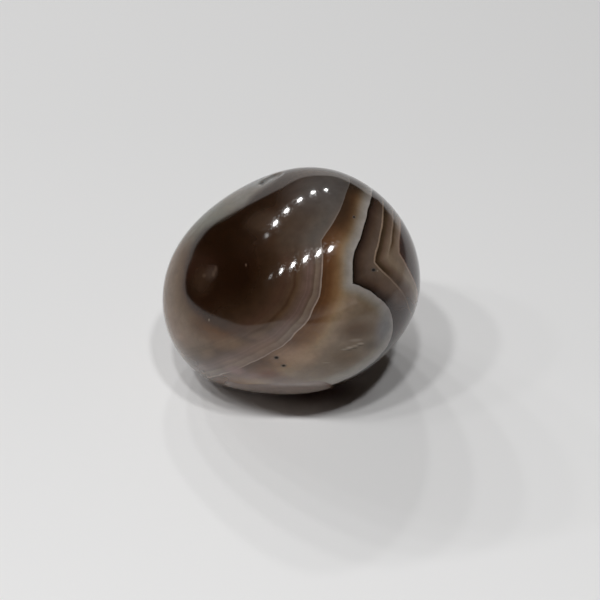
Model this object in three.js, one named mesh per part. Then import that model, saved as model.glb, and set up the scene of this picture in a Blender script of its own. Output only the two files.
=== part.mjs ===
// A tumbled agate pebble, one solid stone: a leaning egg shape with broad soft flats worn into
// its sides, on the flat that it rests on. Millimetres, +Z up, with its front towards -Y.
// The origin is in the middle of the stone's outer box, at the level of the rest flat.

import * as THREE from 'three';
import { mergeVertices } from 'three/addons/utils/BufferGeometryUtils.js';

// Driving dimensions, in millimetres and degrees.
const eggRadii = new THREE.Vector3(13.2, 11.1, 12.9);
const eggLean = { x: 4, y: -52, z: 1 };
const restDepth = 10.1; // from the stone's middle down to the flat that it rests on
const edgeHardness = 9; // how tightly the surface turns from one worn flat to the next

// The worn flats. A flat's heading is the way it faces seen from above, from the front round
// towards +X. Its rise is how far it faces up, and its reach is from the stone's middle out to it.
const wornFlats = [
  { place: 'left shoulder', heading: -100, rise: 58, reach: 10.3 },
  { place: 'front left shoulder', heading: -60, rise: 43, reach: 9.5 },
  { place: 'left of the crown', heading: -32, rise: 67, reach: 11.8 },
  { place: 'front belly', heading: -5, rise: -32, reach: 10.8 },
  { place: 'under the right side', heading: 63, rise: -47, reach: 11.4 },
  { place: 'underside', heading: 0, rise: -90, reach: 10.9 },
];

// Fineness of the faceted skin: each edge of an icosahedron is split this many times.
const skinSplits = 16;

const degrees = THREE.MathUtils.degToRad;

// Turns a direction in the stone into one in the egg's own frame, where its radii lie along XYZ.
const toEggFrame = new THREE.Matrix4()
  .makeRotationFromEuler(
    new THREE.Euler(degrees(eggLean.x), degrees(eggLean.y), degrees(eggLean.z), 'ZYX'),
  )
  .transpose();

function facing({ heading, rise }) {
  const turn = degrees(heading);
  const lift = degrees(rise);
  const level = Math.cos(lift);
  return new THREE.Vector3(Math.sin(turn) * level, -Math.cos(turn) * level, Math.sin(lift));
}

const flats = wornFlats.map((flat) => ({ normal: facing(flat), reach: flat.reach }));

// Distance from the stone's middle to its skin. The egg and the flats are blended, so that the
// nearest of them wins in each direction and the turns between them are round.
function skinRadius(direction) {
  const inEgg = direction.clone().applyMatrix4(toEggFrame).divide(eggRadii);
  let sum = inEgg.length() ** edgeHardness;
  for (const { normal, reach } of flats) {
    sum += Math.max(0, direction.dot(normal) / reach) ** edgeHardness;
  }
  return sum ** (-1 / edgeHardness);
}

function pebbleGeometry() {
  const ball = new THREE.IcosahedronGeometry(1, skinSplits);
  ball.deleteAttribute('normal');
  ball.deleteAttribute('uv');
  const skin = mergeVertices(ball);
  const corners = skin.getAttribute('position');
  const point = new THREE.Vector3();
  for (let i = 0; i < corners.count; i += 1) {
    point.fromBufferAttribute(corners, i).normalize();
    point.multiplyScalar(skinRadius(point));
    point.z = Math.max(point.z, -restDepth);
    corners.setXYZ(i, point.x, point.y, point.z);
  }
  skin.computeVertexNormals();
  skin.computeBoundingBox();
  return skin;
}

// Polished chalcedony: the grey brown that its bands blend to, glossy and not metallic.
const polishedAgate = new THREE.MeshStandardMaterial({
  color: 0x584e46,
  roughness: 0.15,
  metalness: 0,
});

const pebble = new THREE.Mesh(pebbleGeometry(), polishedAgate);
pebble.name = 'agate_pebble';
const middle = pebble.geometry.boundingBox.getCenter(new THREE.Vector3());
pebble.position.set(-middle.x, -middle.y, restDepth);

const stone = new THREE.Group();
stone.add(pebble);

export default stone;
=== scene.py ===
# A tumbled Botswana agate: one polished pebble of banded chalcedony at rest on a pale surface.
# Sizes are in millimetres from the stone's middle, and turn to metres where Blender takes them.
import math

import bmesh
import bpy
import numpy as np
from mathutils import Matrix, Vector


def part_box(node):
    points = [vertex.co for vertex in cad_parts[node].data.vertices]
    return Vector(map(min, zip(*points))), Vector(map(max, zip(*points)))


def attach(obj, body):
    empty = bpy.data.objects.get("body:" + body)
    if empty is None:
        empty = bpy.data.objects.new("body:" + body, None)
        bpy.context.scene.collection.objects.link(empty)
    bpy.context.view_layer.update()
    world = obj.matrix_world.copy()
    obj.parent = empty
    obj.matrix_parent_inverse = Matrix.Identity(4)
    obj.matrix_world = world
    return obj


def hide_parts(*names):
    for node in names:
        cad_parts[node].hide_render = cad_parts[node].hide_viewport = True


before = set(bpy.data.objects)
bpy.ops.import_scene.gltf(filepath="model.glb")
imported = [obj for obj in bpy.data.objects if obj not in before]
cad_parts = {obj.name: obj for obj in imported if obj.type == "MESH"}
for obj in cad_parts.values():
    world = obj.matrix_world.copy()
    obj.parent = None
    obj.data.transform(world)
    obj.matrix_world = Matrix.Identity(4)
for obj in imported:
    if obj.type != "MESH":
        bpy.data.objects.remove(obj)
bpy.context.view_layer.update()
mm = 0.001

# Face coordinates: u to the right, v up the face and w straight out of it. The face is the side
# that shows the dark eye and the chevrons, and it leans back from upright.
faceLift = math.radians(41)
faceAxes = np.array([
    [1.0, 0.0, 0.0],
    [0.0, math.sin(faceLift), math.cos(faceLift)],
    [0.0, -math.cos(faceLift), math.sin(faceLift)],
])

stoneForm = {
    "eggRadii": (13.2, 11.1, 12.9),
    "eggLean": (4, -52, 1),  # degrees about X, then Y, then Z
    "restDepth": 10.1,  # from the middle down to the flat that it rests on
    "edgeHardness": 9,  # how tightly the skin turns from one worn flat to the next
    "wornFlats": [  # heading from the front round towards +X, rise, reach from the middle
        (-100, 58, 10.3),
        (-60, 43, 9.5),
        (-32, 67, 11.8),
        (-5, -32, 10.8),
        (63, -47, 11.4),
        (0, -90, 10.9),
    ],
    "skinCuts": 119,  # cuts along each edge of the cube that is blown up into the skin
    "chips": [  # face place of the middle, half width, and depth at the middle
        ((-2.7, 10.3, 2.6), 0.75, 0.16),
        ((-1.95, 10.65, 2.6), 0.8, 0.14),
    ],
}


def turnMatrix(angles):
    ax, ay, az = [math.radians(angle) for angle in angles]
    cx, sx, cy, sy, cz, sz = [f(a) for a in (ax, ay, az) for f in (math.cos, math.sin)]
    aboutX = np.array([[1, 0, 0], [0, cx, -sx], [0, sx, cx]])
    aboutY = np.array([[cy, 0, sy], [0, 1, 0], [-sy, 0, cy]])
    aboutZ = np.array([[cz, -sz, 0], [sz, cz, 0], [0, 0, 1]])
    return aboutZ @ aboutY @ aboutX


def flatNormal(heading, rise):
    turn, lift = math.radians(heading), math.radians(rise)
    level = math.cos(lift)
    return np.array([math.sin(turn) * level, -math.cos(turn) * level, math.sin(lift)])


def skinRadius(directions):
    power = stoneForm["edgeHardness"]
    inEgg = directions @ turnMatrix(stoneForm["eggLean"]) / np.array(stoneForm["eggRadii"])
    total = np.linalg.norm(inEgg, axis=1) ** power
    for heading, rise, reach in stoneForm["wornFlats"]:
        total += np.maximum(0, directions @ flatNormal(heading, rise) / reach) ** power
    return total ** (-1 / power)


def onSkin(places):
    directions = places / np.linalg.norm(places, axis=1, keepdims=True)
    skin = directions * skinRadius(directions)[:, None]
    skin[:, 2] = np.maximum(skin[:, 2], -stoneForm["restDepth"])
    return skin


def readPlaces(mesh, what="co"):
    values = np.empty(len(mesh.vertices) * 3)
    mesh.vertices.foreach_get(what, values)
    return values.reshape(-1, 3)


def takeChips(skin):
    # Each chip is hollowed out as if by a ball pressed in towards the stone's middle. The skin leans
    # there, so one side of the hollow is deeper than its middle.
    for middle, halfWidth, depth in stoneForm["chips"]:
        middle = onSkin(np.array([middle]) @ faceAxes)[0]
        outward = middle / np.linalg.norm(middle)
        radius = (halfWidth ** 2 + depth ** 2) / (2 * depth)
        fromBall = skin - middle - outward * (radius - depth)
        along = fromBall @ outward
        reach = np.maximum(along ** 2 - (fromBall ** 2).sum(1) + radius ** 2, 0)
        inside = np.linalg.norm(fromBall, axis=1) < radius
        skin[inside] -= np.outer((along + np.sqrt(reach))[inside], outward)
    return skin


def makeSkin():
    bm = bmesh.new()
    bmesh.ops.create_cube(bm, size=2)
    bmesh.ops.subdivide_edges(bm, edges=bm.edges, cuts=stoneForm["skinCuts"], use_grid_fill=True)
    mesh = bpy.data.meshes.new("agateSkin")
    bm.to_mesh(mesh)
    bm.free()
    evenly = np.tan(readPlaces(mesh) * math.pi / 4)  # spreads the cube's net evenly over the ball
    mesh.vertices.foreach_set("co", takeChips(onSkin(evenly)).ravel())
    mesh.update()
    return mesh


stoneMesh = makeSkin()
print("skin made:", len(stoneMesh.vertices), "points")


# Where the edges of the bands cross the face, as closed outlines in u and v. Each list inside an
# outline is one smooth run, runs meet in corners, and the last points lie outside the stone.
bandOutlines = {
    "heart": [
        [(-14, -10), (-7.0, -6.6), (-4.6, -5.9), (-2.4, -4.9)],
        [(-2.4, -4.9), (-4.0, -4.5), (-5.7, -4.0), (-7.3, -3.3), (-8.5, -2.3), (-9.4, -1.4), (-9.9, -0.2),
         (-9.9, 1.2), (-9.7, 2.9), (-8.8, 5.0), (-7.6, 6.0), (-6.0, 6.7), (-4.5, 7.6), (-3.4, 8.6),
         (-2.4, 9.4), (-0.9, 10.6), (0.2, 12), (1.5, 18)],
        [(1.5, 18), (40, 18), (40, -30), (-14, -30), (-14, -10)],
    ],
    "pastArc": [
        [(9, 30), (6.4, 14), (6.0, 11.5), (5.8, 10.2), (5.3, 8.8), (4.9, 7.6), (4.3, 6.3), (3.6, 5.2),
         (3.0, 4.3)],
        [(3.0, 4.3), (3.1, 2.3), (3.0, 0.7), (2.8, -0.7), (2.2, -2.1), (1.7, -3.1), (0.6, -4.3), (-0.6, -5.5),
         (-2.4, -6.5), (-3.9, -7.3), (-5.2, -7.9), (-8.0, -8.9), (-13, -10), (-30, -14)],
        [(-30, -14), (-30, -40), (40, -40), (40, 30), (9, 30)],
    ],
    "pastCream": [
        [(14, 30), (9.2, 14), (8.5, 11.2), (7.7, 8.4), (7.35, 7.2), (7.0, 5.8), (6.5, 4.4), (6.0, 3.2)],
        [(6.0, 3.2), (5.85, 2.2), (5.8, 0.3)],
        [(5.8, 0.3), (6.7, 0.0), (7.7, -0.55), (8.6, -1.2), (9.3, -1.95), (9.8, -3.1), (9.85, -4.3),
         (9.55, -5.4), (8.9, -6.4), (8.1, -7.25), (7.0, -8.05), (5.8, -8.75), (4.2, -9.45), (2.0, -10.3),
         (0, -11.5), (-8, -20)],
        [(-8, -20), (0, -40), (40, -40), (40, 30), (14, 30)],
    ],
    "chevronOne": [
        [(11, 30), (9.6, 11.5), (9.1, 8.5), (8.95, 7.3), (8.75, 5.8), (8.4, 4.4), (8.05, 3.2), (7.9, 2.3)],
        [(7.9, 2.3), (8.7, 1.5), (9.6, 0.7), (10.4, -0.1), (11.2, -1.2), (12.5, -3.5), (20, -14)],
        [(20, -14), (40, -14), (40, 30), (11, 30)],
    ],
    "chevronTwo": [
        [(12, 30), (10.6, 10.5), (10.0, 7.3), (9.85, 5.9), (9.6, 4.4), (9.4, 3.5), (9.3, 2.7)],
        [(9.3, 2.7), (9.6, 2.4), (10.6, 1.5), (12.0, -0.1), (13.5, -2.5), (20, -12)],
        [(20, -12), (40, -12), (40, 30), (12, 30)],
    ],
    "chevronThree": [
        [(13, 30), (11.1, 9.5), (10.7, 6.3), (10.6, 5.3), (10.45, 4.3), (10.35, 3.3)],
        [(10.35, 3.3), (10.9, 2.5), (11.3, 1.8), (11.9, 0.9), (12.4, -0.2), (13.5, -3), (20, -10)],
        [(20, -10), (40, -10), (40, 30), (13, 30)],
    ],
    # painted reflection: a pale band along the stone's low edge stands for the bright floor mirrored there
    "underBand": [
        [(-30, -13), (-9, -10), (-6.3, -9.2), (-5.3, -9.35), (-3.7, -9.4), (-2.1, -9.3), (-0.5, -9.2),
         (1.0, -9.15), (2.2, -9.05), (3.2, -9.05), (4.0, -9.4)],
        [(4.0, -9.4), (30, -50), (-30, -50), (-30, -13)],
    ],
}

# Beyond its edge, the face's pattern slides this far (u, v) by the middle of the stone's back, and
# is bent by slow waves, so that the bands lie in the stone as slanting, uneven sheets.
backSlide = {"slide": (3.0, -5.0), "waveHeight": 1.6, "waveLength": 11}


def smoothRun(points, steps=8):
    # a curve through every point, as Catmull and Rom draw it
    ends = [2 * np.array(points[0]) - points[1]] + [np.array(p) for p in points]
    ends.append(2 * ends[-1] - ends[-2])
    if len(points) < 3:
        return ends[1:-1]
    curve = []
    for before, start, stop, after in zip(ends, ends[1:], ends[2:], ends[3:]):
        for t in np.arange(steps) / steps:
            curve.append(0.5 * (2 * start + (stop - before) * t
                         + (2 * before - 5 * start + 4 * stop - after) * t ** 2
                         + (3 * start - before - 3 * stop + after) * t ** 3))
    return curve + [ends[-2]]


def insideDistance(spots, runs):
    # distance to the outline, counted above 0 inside it and below 0 outside
    outline = [point for run in runs for point in smoothRun(run)]
    nearest = np.full(len(spots), np.inf)
    inside = np.zeros(len(spots), bool)
    for start, stop in zip(outline, outline[1:] + outline[:1]):
        along = stop - start
        length = along @ along
        if length == 0:
            continue
        share = np.clip((spots - start) @ along / length, 0, 1)
        gap = spots - start - share[:, None] * along
        nearest = np.minimum(nearest, (gap ** 2).sum(1))
        crosses = (start[1] > spots[:, 1]) != (stop[1] > spots[:, 1])
        if start[1] != stop[1]:
            meets = start[0] + (spots[:, 1] - start[1]) * along[0] / along[1]
            inside ^= crosses & (spots[:, 0] < meets)
    return np.where(inside, 1, -1) * np.sqrt(nearest)


def bandSpots(mesh):
    u, v, w = (readPlaces(mesh) @ faceAxes.T).T
    away = np.clip(-(readPlaces(mesh, "normal") @ faceAxes[2]), 0, 1)
    behind = away * away * (3 - 2 * away)
    turn = 2 * math.pi / backSlide["waveLength"]
    slideU, slideV = backSlide["slide"]
    waveU = backSlide["waveHeight"] * np.sin(turn * (w + 0.6 * v) + 1)
    waveV = backSlide["waveHeight"] * np.sin(turn * (w - 0.7 * u) + 2)
    return np.stack([u + behind * (slideU + waveU), v + behind * (slideV + waveV)], axis=1)


def storeField(mesh, name, values):
    field = mesh.attributes.new(name, "FLOAT", "POINT")
    field.data.foreach_set("value", values.astype(np.float32))


spots = bandSpots(stoneMesh)
for name, runs in bandOutlines.items():
    storeField(stoneMesh, name, insideDistance(spots, runs))
print("band fields stored:", ", ".join(bandOutlines))


def linearColour(hexColour):
    # sRGB hex to the linear colour that a shader takes
    channels = [int(hexColour[i:i + 2], 16) / 255 for i in (1, 3, 5)]
    return [c / 12.92 if c <= 0.04045 else ((c + 0.055) / 1.055) ** 2.4 for c in channels] + [1.0]


def addNode(tree, kind, settings=None, links=None):
    node = tree.nodes.new(kind)
    for name, value in (settings or {}).items():
        if name == "stops":
            ramp = node.color_ramp
            while len(ramp.elements) < len(value):
                ramp.elements.new(1.0)
            for element, (place, hexColour) in zip(ramp.elements, value):
                element.position = place
                element.color = linearColour(hexColour)
        elif isinstance(name, int) or name in node.inputs:
            node.inputs[name].default_value = value
        else:
            setattr(node, name, value)
    for name, source in (links or {}).items():
        tree.links.new(source, node.inputs[name])
    return node


# Colours of the bands. In each list a colour stands at its distance in millimetres from the edge
# that the band is counted from.
agateColours = {
    "outer": [(0, "#33211a"), (0.5, "#4a3728"), (1.0, "#594736"), (2.0, "#6c5a4a"), (3.0, "#786454"),
              (4.0, "#847061")],
    "heart": [(0, "#ab9a8e"), (0.06, "#a08e81"), (0.16, "#67554a"), (0.34, "#6f5e52"),
              (0.62, "#78685a"), (0.72, "#5f4d42"), (1.2, "#66524a"), (1.7, "#5c493e"),
              (2.2, "#54402f"), (2.45, "#442f20"), (2.7, "#4d3a2c"), (3.3, "#473226"),
              (4.2, "#38271b"), (5.2, "#2e1e12"), (7.0, "#23130a"), (9.0, "#1e1007"),
              (10.5, "#28160e"), (12.0, "#35231a")],
    "heartCrown": [(0, "#83786f"), (0.15, "#605750"), (0.7, "#57504a"), (1.5, "#554b43"), (2.2, "#4b3f36"),
                   (3.5, "#46382d"), (4.5, "#3c2b1f"), (5.5, "#2f2016"), (7.0, "#24160d"), (9.0, "#1e1007")],
    "amber": [(0, "#4c3220"), (0.8, "#66462c"), (1.45, "#7f6043"), (1.9, "#927759"), (2.3, "#917b61"),
              (2.8, "#89745f"), (3.6, "#7d6b58"), (5.0, "#74624f")],
    "creamRim": [(0, "#a39c96"), (0.3, "#9a938c"), (0.8, "#8f877b"), (1.3, "#83745e"), (1.7, "#7b6548")],
    "firstStep": [(0, "#0c0705"), (0.13, "#241a13"), (0.5, "#42322a"), (0.9, "#564539"), (1.4, "#65554a"),
                  (2.0, "#706053"), (2.8, "#7d6c5c")],
    "chevron": [(-0.12, "#a8937f"), (0.0, "#957f6c"), (0.08, "#3a2b1d"), (0.35, "#524130"), (0.7, "#755f50"),
                (1.2, "#93806c"), (2.0, "#8a7766")],
    "paleChevron": [(-0.12, "#ab9683"), (0.0, "#937f6d"), (0.08, "#54412f"), (0.4, "#84705e"),
                    (0.8, "#a08a78")],
    "lastBand": [(-0.12, "#b29a89"), (0.0, "#8d7463"), (0.08, "#3f1f0c"), (0.6, "#35180a"), (1.5, "#4b2a12")],
    # colours of the painted floor reflection along the low edge
    "underBand": [(0, "#6d5548"), (0.25, "#85756d"), (0.7, "#93867f"), (1.5, "#978a82"), (3.0, "#7d6c62"),
                  (5.0, "#5f4e44")],
}

# Soft clouds in the chalcedony, with a few painted marks among them: face place of the middle, reach along u,
# v and w, colour, strength.
# A cloud has its full strength out to this share of its reach, and fades from there.
cloudCore = 0.15
outerClouds = [
    ((-8.3, 7.6, 2), (5.4, 5, 8), "#5e5c53", 1.0),
    ((-3, 10.5, 2), (4.5, 1.8, 5), "#747371", 1.0),
    ((-4.8, 8.9, 3), (2.6, 2.0, 4), "#6a6761", 0.9),
    ((-6.6, -4.2, 7.5), (3.6, 1.9, 4), "#5a3712", 0.65),
    ((-7.4, -6.9, 5.5), (2.0, 1.4, 3), "#826b54", 0.7),
    ((-5.2, -5.6, 8), (2.8, 1.2, 3), "#6e553e", 0.85),
    ((-8.4, -3.5, 6), (2.2, 1.7, 4), "#472c14", 0.6),
]
heartCloudsAndReflection = [
    ((3.6, 8.8, 6), (5.4, 4.6, 6), "#504b48", 1.0),
    ((-2.3, 6.2, 7), (2.8, 1.8, 4), "#4a3a2e", 0.6),
    ((-4.5, 0.5, 8), (3.0, 3.5, 4), "#1a0c04", 0.7),
    ((-8.5, 0.9, 5.5), (1.9, 2.4, 3.5), "#38281d", 0.75),
    ((-2.6, -5.6, 8.5), (3.6, 1.9, 4), "#7a604e", 0.6),
    ((-4.8, -7.2, 7), (3.4, 1.1, 4), "#8c7665", 0.5),
    ((-7.5, 1.4, 5.9), (1.1, 1.1, 1.6), "#463830", 0.6),  # painted reflection of a window: a faint pale patch, with the three spots below
    ((-7.25, 1.3, 6.0), (0.25, 0.5, 0.9), "#5a4a3f", 0.5),
    ((-7.05, 1.75, 6.0), (0.25, 0.5, 0.9), "#5a4a3f", 0.5),
    ((-8.2, 1.15, 5.3), (0.3, 0.3, 0.7), "#5a4a3f", 0.5),
    ((-4.05, 2.07, 8.4), (0.12, 0.22, 0.4), "#5a483c", 0.9),
]
amberClouds = [
    ((4.9, 7.6, 8), (2.4, 5.2, 8), "#33261c", 0.85),
    ((6.5, 10.2, 6), (2.5, 2.8, 5), "#2c251e", 0.9),
    ((6.3, -4.0, 9), (2.7, 1.5, 4), "#523510", 0.9),
    ((5.6, -6.7, 8), (2.6, 1.3, 4), "#6a5238", 0.8),
    ((7.9, -5.5, 7.5), (1.5, 0.9, 3), "#50402f", 0.8),
    ((9.1, -4.4, 7.5), (1.5, 3.6, 3.5), "#706f72", 0.8),
    ((1.3, -4.2, 9.5), (2.3, 1.9, 4), "#6a4414", 0.35),
    ((0.5, -6.4, 8.5), (3.4, 1.8, 3), "#a48870", 0.7),
    ((-1.9, -8.3, 6), (2.2, 0.9, 3), "#602c08", 0.85),
]
chevronClouds = [
    ((9.8, 9.0, 5), (2.6, 3.6, 5), "#241b14", 0.55),
    ((9.6, 0.4, 8.5), (2.0, 1.6, 3), "#755f50", 0.5),
    ((8.6, -1.3, 9), (1.8, 1.1, 3), "#2a1608", 0.6),
    ((11.0, -0.6, 6), (1.8, 1.6, 3), "#53300e", 0.8),
    ((11.2, -3.4, 6), (3.6, 3.4, 6), "#2b1006", 1.0),
]
footClouds = [  # low on the face, over all but the painted floor reflection: a mauve patch and a dark red streak
    ((-5.2, -7.9, 5.5), (1.6, 0.8, 2.5), "#8c716c", 0.85),
    ((-3.6, -8.4, 4.8), (1.8, 0.6, 2.5), "#7b5f58", 0.75),
    ((-0.9, -8.85, 4.8), (3.8, 0.8, 2.5), "#4a2414", 0.6),
]
pores = [  # small open holes, not dented: their dark colour is painted shade. Place, reach, dark colour, strength
    ((7.81, 1.58, 9.63), (0.4, 0.28, 0.6), "#050201", 1.0),
    ((6.02, 6.51, 9.21), (0.24, 0.22, 0.5), "#0a0604", 1.0),
    ((-1.2, -6.58, 8.64), (0.38, 0.3, 0.6), "#050201", 1.0),
    ((-0.54, -7.37, 7.8), (0.36, 0.28, 0.6), "#050201", 1.0),
]
marksAndChipShade = [  # small marks, and the chip's painted shade, laid over everything else
    ((-7.61, -3.09, 7.0), (0.12, 0.2, 0.4), "#8d8073", 0.5),  # a pale speck
    ((8.2, 1.5, 9.5), (0.16, 0.16, 0.4), "#b0a090", 0.6),  # and one beside the largest pore
    ((5.2, -5.82, 8.1), (0.7, 0.16, 0.6), "#a39583", 0.5),  # a small feathered crack under the skin
    ((5.7, -5.66, 8.1), (0.6, 0.17, 0.6), "#b0a290", 0.7),
    ((6.2, -5.5, 8.0), (0.6, 0.16, 0.6), "#a39583", 0.6),
    ((6.7, -5.3, 7.8), (0.6, 0.15, 0.6), "#b0a290", 0.6),
    ((5.6, -5.9, 8.0), (0.6, 0.09, 0.6), "#2e2117", 0.6),
    ((6.15, -5.74, 7.9), (0.6, 0.09, 0.6), "#2e2117", 0.7),
    ((6.75, -5.5, 7.7), (0.6, 0.09, 0.6), "#2e2117", 0.6),
    ((6.2, -4.95, 8.3), (1.5, 0.24, 0.7), "#9a8a78", 0.5),
    ((3.45, -7.1, 7.6), (0.6, 0.1, 0.5), "#a08e78", 0.4),
    ((-2.75, 10.3, 2.3), (0.4, 0.5, 0.8), "#1b1511", 0.8),  # painted shade in the chip's deeper end
]


def alongBand(tree, distance, stops, reverse=False):
    # the band's colour at a distance from its edge
    low, high = stops[0][0], stops[-1][0]
    ends = {1: -low, 2: -high} if reverse else {1: low, 2: high}
    share = addNode(tree, "ShaderNodeMapRange", ends, {0: distance})
    places = [((place - low) / (high - low), colour) for place, colour in stops]
    return addNode(tree, "ShaderNodeValToRGB", {"stops": places}, {0: share.outputs[0]}).outputs[0]


def layOver(tree, under, over, cover):
    mixed = addNode(tree, "ShaderNodeMix", {"data_type": "RGBA"}, {0: cover, 6: under, 7: over})
    return mixed.outputs[2]


def coverPast(tree, distance, start, stop):
    # 0 at start and on its far side, 1 at stop and on its own
    cover = addNode(tree, "ShaderNodeMapRange", {"interpolation_type": "SMOOTHSTEP", 1: start, 2: stop},
                    {0: distance})
    return cover.outputs[0]


def cloudCover(tree, spot, middle, reach, strength):
    offset = addNode(tree, "ShaderNodeVectorMath", {"operation": "SUBTRACT", 1: middle}, {0: spot})
    scaled = addNode(tree, "ShaderNodeVectorMath", {"operation": "DIVIDE", 1: reach}, {0: offset.outputs[0]})
    length = addNode(tree, "ShaderNodeVectorMath", {"operation": "LENGTH"}, {0: scaled.outputs[0]})
    cover = addNode(tree, "ShaderNodeMapRange", {
        "interpolation_type": "SMOOTHSTEP", 1: 1.0, 2: cloudCore, 4: strength,
    }, {0: length.outputs[1]})
    return cover.outputs[0]


def layClouds(tree, under, spot, clouds):
    for middle, reach, colour, strength in clouds:
        cover = cloudCover(tree, spot, middle, reach, strength)
        mixed = addNode(tree, "ShaderNodeMix", {"data_type": "RGBA", 7: linearColour(colour)},
                        {0: cover, 6: under})
        under = mixed.outputs[2]
    return under


# Scales are in blotches to a millimetre, depths are shares of the tone, and lengths are in millimetres.
agateFinish = {
    "waver": {"scale": 0.7, "reach": 0.12},  # how far the band edges waver
    "crown": (1.8, 4.4),  # heights on the face between which the heart takes its crown colours
    "foldFade": (2.6, 4.2),  # and those over which the second chevron dies out
    "fineBands": {"scale": 3.5, "depth": 0.15,
                  "within": (-5.0, -1.0), "beyond": (1.5, 0.2), "low": (5.0, 1.5)},
    "mottle": {"scale": 1.1, "depth": 0.12},
    "edges": {"heart": (-0.7, 0.2), "rim": (-1.7, -0.2), "crisp": (-0.03, 0.03), "chevron": (-0.14, -0.08),
              "under": (-0.1, 0.1)},
    "roughness": (0.07, 0.2),  # polished, and scuffed
    "scuffs": {"scale": 5.5, "cover": (0.55, 0.62), "out": (6.5, 8.0)},
    "ripple": {"scale": 0.4, "height": 0.006},
}


def bandFields(tree, spot):
    # how far each spot is from the edge of each band, with the edges wavering a little
    waver = agateFinish["waver"]
    noise = addNode(tree, "ShaderNodeTexNoise", {"Scale": waver["scale"], "Detail": 3.0, "Roughness": 0.45},
                    {"Vector": spot})
    wobble = addNode(tree, "ShaderNodeMapRange", {1: 0.0, 2: 1.0, 3: -waver["reach"], 4: waver["reach"]},
                     {0: noise.outputs[0]})
    field = {}
    for name in bandOutlines:
        stored = addNode(tree, "ShaderNodeAttribute", {"attribute_name": name})
        wavered = addNode(tree, "ShaderNodeMath", {"operation": "ADD"},
                          {0: stored.outputs["Fac"], 1: wobble.outputs[0]})
        field[name] = wavered.outputs[0]
    return field


def heartColours(tree, field, spot, height):
    # the pale outside of the stone, and the dark heart over it
    outer = alongBand(tree, field["heart"], agateColours["outer"], reverse=True)
    outer = layClouds(tree, outer, spot, outerClouds)
    heart = alongBand(tree, field["pastArc"], agateColours["heart"], reverse=True)
    crownHeart = alongBand(tree, field["pastArc"], agateColours["heartCrown"], reverse=True)
    heart = layOver(tree, heart, crownHeart, coverPast(tree, height, *agateFinish["crown"]))
    heart = layClouds(tree, heart, spot, heartCloudsAndReflection)
    return layOver(tree, outer, heart, coverPast(tree, field["heart"], *agateFinish["edges"]["heart"]))


def amberColours(tree, field, spot):
    edges = agateFinish["edges"]
    amber = alongBand(tree, field["pastArc"], agateColours["amber"])
    rim = alongBand(tree, field["pastCream"], agateColours["creamRim"], reverse=True)
    amber = layOver(tree, amber, rim, coverPast(tree, field["pastCream"], *edges["rim"]))
    return layClouds(tree, amber, spot, amberClouds)


def chevronColours(tree, field, spot, height):
    edges = agateFinish["edges"]
    steps = alongBand(tree, field["pastCream"], agateColours["firstStep"])
    ramps = {"chevronOne": "chevron", "chevronTwo": "paleChevron", "chevronThree": "lastBand"}
    for name, ramp in ramps.items():
        band = alongBand(tree, field[name], agateColours[ramp])
        cover = coverPast(tree, field[name], *edges["chevron"])
        if name == "chevronTwo":  # this one dies out before it folds
            above = coverPast(tree, height, *agateFinish["foldFade"])
            both = addNode(tree, "ShaderNodeMath", {"operation": "MULTIPLY"}, {0: cover, 1: above})
            cover = both.outputs[0]
        steps = layOver(tree, steps, band, cover)
    return layClouds(tree, steps, spot, chevronClouds)


def bandColours(tree, field, spot, height):
    # each group of bands is laid over the one before it
    edges = agateFinish["edges"]
    colour = heartColours(tree, field, spot, height)
    amber = amberColours(tree, field, spot)
    colour = layOver(tree, colour, amber, coverPast(tree, field["pastArc"], *edges["crisp"]))
    steps = chevronColours(tree, field, spot, height)
    colour = layOver(tree, colour, steps, coverPast(tree, field["pastCream"], *edges["crisp"]))
    colour = layClouds(tree, colour, spot, footClouds)
    # last, the painted reflection of the bright floor along the stone's low edge
    under = alongBand(tree, field["underBand"], agateColours["underBand"])
    return layOver(tree, colour, under, coverPast(tree, field["underBand"], *edges["under"]))


def tonedColours(tree, colour, field, spot, height):
    # fine lines along the arc, low on the face and near it, and a mottle everywhere
    lines, mottle = agateFinish["fineBands"], agateFinish["mottle"]
    fineBands = addNode(tree, "ShaderNodeTexNoise", {
        "noise_dimensions": "1D", "Scale": lines["scale"], "Detail": 3.0,
    }, {"W": field["pastArc"]})
    blotches = addNode(tree, "ShaderNodeTexNoise", {
        "Scale": mottle["scale"], "Detail": 5.0, "Roughness": 0.6,
    }, {"Vector": spot})
    within = coverPast(tree, field["pastArc"], *lines["within"])
    beyond = coverPast(tree, field["pastArc"], *lines["beyond"])
    low = coverPast(tree, height, *lines["low"])
    nearArc = addNode(tree, "ShaderNodeMath", {"operation": "MULTIPLY"}, {0: within, 1: beyond})
    lined = addNode(tree, "ShaderNodeMath", {"operation": "MULTIPLY"}, {0: nearArc.outputs[0], 1: low})
    evened = addNode(tree, "ShaderNodeMix", {2: 0.5}, {0: lined.outputs[0], 3: fineBands.outputs[0]})
    for noise, depth in ((evened, lines["depth"]), (blotches, mottle["depth"])):
        tone = addNode(tree, "ShaderNodeMapRange", {1: 0.3, 2: 0.7, 3: 1 - depth, 4: 1 + depth},
                       {0: noise.outputs[0]})
        toned = addNode(tree, "ShaderNodeVectorMath", {"operation": "SCALE"},
                        {0: colour, "Scale": tone.outputs[0]})
        colour = toned.outputs[0]
    return colour


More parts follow.
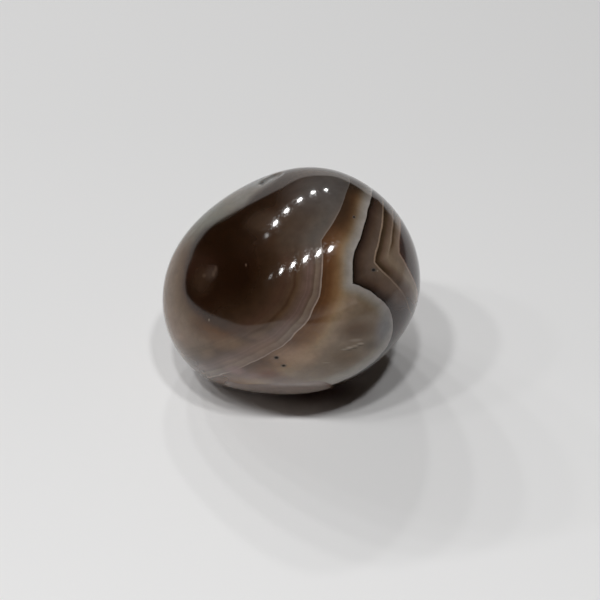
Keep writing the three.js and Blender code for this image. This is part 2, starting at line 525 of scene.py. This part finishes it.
def skinRoughness(tree, spot, out):
    # The scratches of wear are finer than the render can show, so they are drawn as coarse patches of
    # about a fifth of a millimetre. They lie on the side that faces out, and the pores are dull.
    scuffs = agateFinish["scuffs"]
    noise = addNode(tree, "ShaderNodeTexNoise", {"Scale": scuffs["scale"], "Detail": 2.0, "Roughness": 0.7},
                    {"Vector": spot})
    scuffed = coverPast(tree, noise.outputs[0], *scuffs["cover"])
    facing = coverPast(tree, out, *scuffs["out"])
    worn = addNode(tree, "ShaderNodeMath", {"operation": "MULTIPLY"}, {0: scuffed, 1: facing})
    polished, rubbed = agateFinish["roughness"]
    roughness = addNode(tree, "ShaderNodeMapRange", {3: polished, 4: rubbed}, {0: worn.outputs[0]}).outputs[0]
    for middle, reach, _, strength in pores:
        hole = cloudCover(tree, spot, middle, reach, strength)
        roughness = addNode(tree, "ShaderNodeMix", {3: 1.0}, {0: hole, 2: roughness}).outputs[0]
    return roughness


def makeAgate():
    # Chalcedony, tumbled to a high polish: waxy and a little translucent, with a clear glossy skin.
    material = bpy.data.materials.new("tumbledBandedAgate")
    material.use_nodes = True
    tree = material.node_tree
    tree.nodes.clear()

    place = addNode(tree, "ShaderNodeTexCoord")
    spot = addNode(tree, "ShaderNodeMapping", {
        "Location": facePlaceShift, "Rotation": (faceLift - math.pi / 2, 0, 0), "Scale": (1 / mm,) * 3,
    }, {"Vector": place.outputs["Object"]}).outputs[0]
    axes = addNode(tree, "ShaderNodeSeparateXYZ", links={0: spot})
    height, out = axes.outputs["Y"], axes.outputs["Z"]

    field = bandFields(tree, spot)
    colour = bandColours(tree, field, spot, height)
    colour = tonedColours(tree, colour, field, spot, height)
    # the small marks, the chip's painted shade and the pores' painted shade go over everything
    colour = layClouds(tree, colour, spot, marksAndChipShade + pores)

    ripple = agateFinish["ripple"]
    waves = addNode(tree, "ShaderNodeTexNoise", {"Scale": ripple["scale"], "Detail": 2.0}, {"Vector": spot})
    polish = addNode(tree, "ShaderNodeBump", {"Strength": 1.0, "Distance": ripple["height"] * mm},
                     {"Height": waves.outputs[0]})
    skin = addNode(tree, "ShaderNodeBsdfPrincipled", {
        "IOR": 1.54,
        "Subsurface Weight": 0.25, "Subsurface Radius": (1.0, 0.7, 0.5), "Subsurface Scale": 0.6 * mm,
    }, {"Base Color": colour, "Roughness": skinRoughness(tree, spot, out), "Normal": polish.outputs[0]})
    addNode(tree, "ShaderNodeOutputMaterial", links={"Surface": skin.outputs[0]})
    return material


# The stone stands where the CAD solid stands: same box middle, same rest flat.
lowCorner, highCorner = [np.array(corner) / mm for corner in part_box("agate_pebble")]
skinPlaces = readPlaces(stoneMesh)
boxMiddle = (skinPlaces.min(0) + skinPlaces.max(0)) / 2
stoneShift = (lowCorner + highCorner) / 2 - boxMiddle
stoneShift[2] = lowCorner[2] + stoneForm["restDepth"]
facePlaceShift = tuple(-(faceAxes @ stoneShift))
stoneMesh.vertices.foreach_set("co", ((skinPlaces + stoneShift) * mm).ravel())
stoneMesh.shade_smooth()
stoneMesh.update()

agatePebble = bpy.data.objects.new("agatePebble", stoneMesh)
bpy.context.scene.collection.objects.link(agatePebble)
stoneMesh.materials.append(makeAgate())
print("agate material made")

surface = {
    "size": 500,
    "paintedLightTones": [(-45, "#f0f0f0"), (0, "#e5e5e5"), (45, "#e0e0e0")],  # painted light: paler at the front, greyer towards the back
    "paintedSideShade": "#808080",  # painted shade: the table darker out to the right, for the stone's right side to mirror
    "side": (75, 45, 70),  # heading, and how far out that way the painted side shade begins and is full
    # a brown shade painted at the stone's foot: place from its middle, reach, tone, strength
    "shade": ((2.4, -4.4, -10.1), (7.2, 3.4, 3), "#5a3018", 0.85),
    "roughness": 0.6,
    "specular": 0.2,
}


def makeSurface():
    # Smooth white table top: pale and dull, with painted light and shade: greyer towards the back and the
    # right, and a brown shade painted at the stone's foot, because the agate's own material lets no light
    # through to it.
    material = bpy.data.materials.new("paleTableTop")
    material.use_nodes = True
    tree = material.node_tree
    place = addNode(tree, "ShaderNodeTexCoord")
    spot = addNode(tree, "ShaderNodeSeparateXYZ", links={0: place.outputs["Object"]})
    # painted light: the table's tone runs from paler at the front to greyer at the back
    low, high = [surface["paintedLightTones"][i][0] for i in (0, -1)]
    share = addNode(tree, "ShaderNodeMapRange", {1: low * mm, 2: high * mm}, {0: spot.outputs["Y"]})
    stops = [((y - low) / (high - low), tone) for y, tone in surface["paintedLightTones"]]
    main = addNode(tree, "ShaderNodeValToRGB", {"stops": stops}, {0: share.outputs[0]})
    # painted shade: the table darkens out to the right
    heading, start, stop = surface["side"]
    out = addNode(tree, "ShaderNodeVectorMath", {"operation": "DOT_PRODUCT", 1: flatNormal(heading, 0)},
                  {0: place.outputs["Object"]})
    side = coverPast(tree, out.outputs[1], start * mm, stop * mm)
    colour = addNode(tree, "ShaderNodeMix", {"data_type": "RGBA", 7: linearColour(surface["paintedSideShade"])},
                     {0: side, 6: main.outputs[0]})
    middle, reach, tone, strength = surface["shade"]
    shade = cloudCover(tree, place.outputs["Object"], (stoneShift + middle) * mm,
                       np.array(reach) * mm, strength)
    colour = addNode(tree, "ShaderNodeMix", {"data_type": "RGBA", 7: linearColour(tone)},
                     {0: shade, 6: colour.outputs[2]})
    skin = tree.nodes["Principled BSDF"]
    tree.links.new(colour.outputs[2], skin.inputs["Base Color"])
    skin.inputs["Roughness"].default_value = surface["roughness"]
    skin.inputs["Specular IOR Level"].default_value = surface["specular"]
    half = surface["size"] * mm / 2
    mesh = bpy.data.meshes.new("paleSurface")
    corners = [(-half, -half, 0), (half, -half, 0), (half, half, 0), (-half, half, 0)]
    mesh.from_pydata(corners, [], [(0, 1, 2, 3)])
    mesh.materials.append(material)
    top = bpy.data.objects.new("paleSurface", mesh)
    bpy.context.scene.collection.objects.link(top)
    return top


paleSurface = makeSurface()

# Two rows of six small ceiling lamps. A lamp's slope is how far it stands towards +X and +Y for each
# millimetre that it hangs above the stone's middle. A row runs on from its first slope by its step,
# which grows by its bend each time, and a share is of the full lamp power.
studio = {
    "frontRow": {"first": (0.214, -0.275), "step": (-0.266, -0.003), "bend": (-0.018, 0.020),
                 "shares": (1, 1, 1, 0.75, 0.45, 0.05)},
    "backRow": {"first": (-0.037, 1.03), "step": (-0.310, -0.040), "bend": (0.022, -0.012),
                "shares": (1, 1, 1, 0.85, 0.7, 0.05)},
    "lampHeight": 600,
    "lampWidth": 50,
    "lampPower": 0.842,
    "wallTone": "#d1cdca",  # of the low pale walls round the table
    "wallTops": [  # heading from the front round towards +X, and how many degrees up the wall reaches
        (-180, 14), (-165, 16), (-153, 18), (-147, 15.7), (-143, 13.4), (-138, 10), (-120, 10),
        (-114, 7.8), (-108, 6), (-100, 8.5), (-90, 10.5), (-81, 11), (-69, 9.6), (-58, 7.8),
        (-40, 7), (-22, 7.5), (-10, 4), (50, 4), (62, -18), (119, -19), (141, -17), (150, -10),
        (153, 5), (163, 7), (171, 9), (180, 14),
    ],
    "wallEdge": 0.01,  # how softly a wall's top ends, in radians
    # A wall's top is soft round this heading: how squarely a way faces it where it begins and is full.
    "softSide": {"heading": 20, "facing": (0.6, 0.9), "sharpness": 0.06},
    "roomTone": "#17130f",
}


def addLamp(place, width, power):
    light = bpy.data.lights.new("ceilingLamp", "AREA")
    light.shape = "DISK"
    light.size = width * mm
    light.energy = power
    lamp = bpy.data.objects.new("ceilingLamp", light)
    lamp.location = place * mm
    bpy.context.scene.collection.objects.link(lamp)


for row in (studio["frontRow"], studio["backRow"]):
    slope, step = np.array(row["first"]), np.array(row["step"])
    for share in row["shares"]:
        place = stoneShift + np.array([*slope, 1.0]) * studio["lampHeight"]
        addLamp(place, studio["lampWidth"], studio["lampPower"] * share)
        slope, step = slope + step, step + row["bend"]


def makeRoom():
    # A dark room, with low pale walls round the table. The side with no wall is dark.
    room = bpy.data.worlds.new("studioRoom")
    room.use_nodes = True
    tree = room.node_tree
    direction = addNode(tree, "ShaderNodeTexCoord").outputs["Generated"]
    level = addNode(tree, "ShaderNodeVectorMath", {"operation": "MULTIPLY", 1: (1, -1, 0)}, {0: direction})
    reach = addNode(tree, "ShaderNodeVectorMath", {"operation": "LENGTH"}, {0: level.outputs[0]})
    sides = addNode(tree, "ShaderNodeSeparateXYZ", links={0: level.outputs[0]})
    heights = addNode(tree, "ShaderNodeSeparateXYZ", links={0: direction})
    rise = addNode(tree, "ShaderNodeMath", {"operation": "ARCTAN2"},
                   {0: heights.outputs["Z"], 1: reach.outputs[1]})
    heading = addNode(tree, "ShaderNodeMath", {"operation": "ARCTAN2"},
                      {0: sides.outputs["X"], 1: sides.outputs["Y"]})
    turn = addNode(tree, "ShaderNodeMapRange", {1: -math.pi, 2: math.pi}, {0: heading.outputs[0]})
    tops = addNode(tree, "ShaderNodeFloatCurve", links={1: turn.outputs[0]})
    curve = tops.mapping.curves[0]
    places = [((heading + 180) / 360, (top + 90) / 180) for heading, top in studio["wallTops"]]
    while len(curve.points) < len(places):
        curve.points.new(0.5, 0.5)
    for point, place in zip(curve.points, places):
        point.location = place
        point.handle_type = "VECTOR"
    tops.mapping.update()
    top = addNode(tree, "ShaderNodeMapRange", {3: -math.pi / 2, 4: math.pi / 2}, {0: tops.outputs[0]})
    above = addNode(tree, "ShaderNodeMath", {"operation": "SUBTRACT"},
                    {0: rise.outputs[0], 1: top.outputs[0]})
    soft = studio["softSide"]
    front = addNode(tree, "ShaderNodeVectorMath", {
        "operation": "DOT_PRODUCT", 1: flatNormal(soft["heading"], 0),
    }, {0: direction})
    begins, full = soft["facing"]
    crisp = addNode(tree, "ShaderNodeMapRange", {1: begins, 2: full, 3: 1, 4: soft["sharpness"]},
                    {0: front.outputs[1]})
    edge = addNode(tree, "ShaderNodeMath", {"operation": "MULTIPLY"},
                   {0: above.outputs[0], 1: crisp.outputs[0]})
    colours = addNode(tree, "ShaderNodeMix", {
        "data_type": "RGBA", 6: linearColour(studio["wallTone"]), 7: linearColour(studio["roomTone"]),
    }, {0: coverPast(tree, edge.outputs[0], -studio["wallEdge"], studio["wallEdge"])})
    tree.links.new(colours.outputs[2], tree.nodes["Background"].inputs[0])
    return room


bpy.context.scene.world = makeRoom()
bpy.context.scene.view_settings.view_transform = "Standard"

view = {"distance": 130, "aimAcross": 1.0, "aimUp": -1.2, "frameWidth": 60, "sensor": 36}


def addCamera():
    camera = bpy.data.cameras.new("frontCamera")
    camera.sensor_width = view["sensor"]
    camera.lens = view["sensor"] * view["distance"] / view["frameWidth"]
    camera.clip_start = 0.01
    holder = bpy.data.objects.new("frontCamera", camera)
    aim = stoneShift + faceAxes.T @ np.array([view["aimAcross"], view["aimUp"], view["distance"]])
    holder.location = [p * mm for p in aim]
    holder.rotation_euler = (math.pi / 2 - faceLift, 0, 0)
    bpy.context.scene.collection.objects.link(holder)
    return holder


bpy.context.scene.camera = addCamera()

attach(agatePebble, "root")
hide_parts("agate_pebble")
